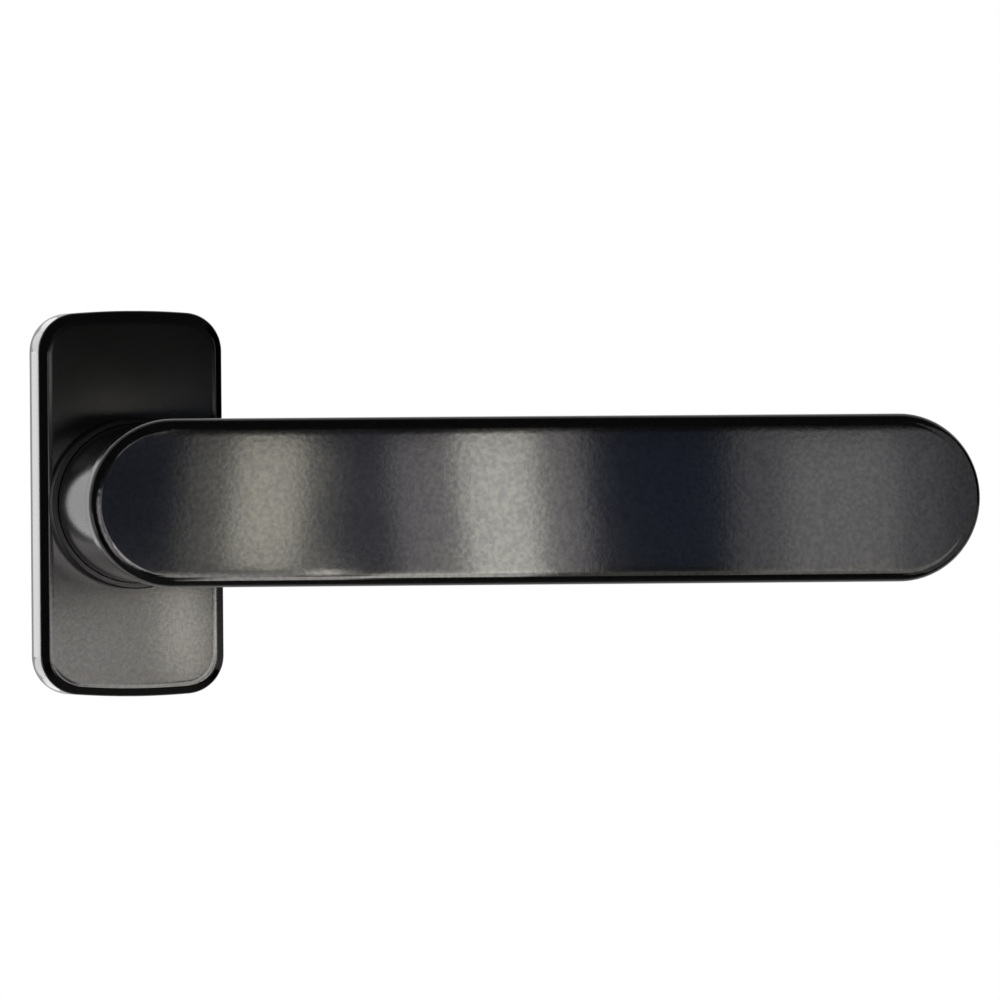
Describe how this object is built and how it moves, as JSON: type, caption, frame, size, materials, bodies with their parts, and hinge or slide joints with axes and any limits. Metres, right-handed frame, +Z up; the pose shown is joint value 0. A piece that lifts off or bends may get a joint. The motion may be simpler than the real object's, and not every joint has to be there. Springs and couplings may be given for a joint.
{
  "type": "door lever handle",
  "caption": "Flat black lever handle with full-round ends on a round neck, set on a narrow upright cover plate, turned by hand to work a folding door's lock through a square spindle.",
  "frame": {"origin": "On the spindle axis, in the plane of the door's face.", "axes": "+Z up with the lever level, +X along the lever from the neck to its tip, +Y into the door leaf."},
  "size_m": [0.1521, 0.082, 0.0642],
  "materials": {
    "black_anodised_aluminium": "satin",
    "black_nylon": "satin",
    "die_cast_aluminium": "satin",
    "zinc_plated_steel": "satin",
    "spring_steel": "satin",
    "black_steel": "satin",
    "acetal": "satin"
  },
  "bodies": {
    "base": {"base_plate": "die_cast_aluminium", "bearing_bush": "acetal", "detent_spring_left": "spring_steel", "detent_spring_right": "spring_steel", "fixing_screws": "zinc_plated_steel"},
    "lever": {"lever": "black_anodised_aluminium", "index_cam": "zinc_plated_steel", "stop_washer": "zinc_plated_steel", "retaining_ring": "spring_steel", "spindle": "zinc_plated_steel", "grub_screw": "black_steel"},
    "cover": {"cover_plate": "black_anodised_aluminium", "collar_ring": "black_nylon"}
  },
  "joints": [
    {"name": "lever_turn", "type": "hinge", "parent": "base", "child": "lever", "pos_m": [0, 0, 0], "axis": [0, 1, 0], "range_deg": [-90, 90], "deforming": ["detent_spring_left", "detent_spring_right"]},
    {"name": "cover_lift", "type": "slide", "parent": "base", "child": "cover", "axis": [0, -1, 0], "range_m": [0, 0.012]}
  ]
}
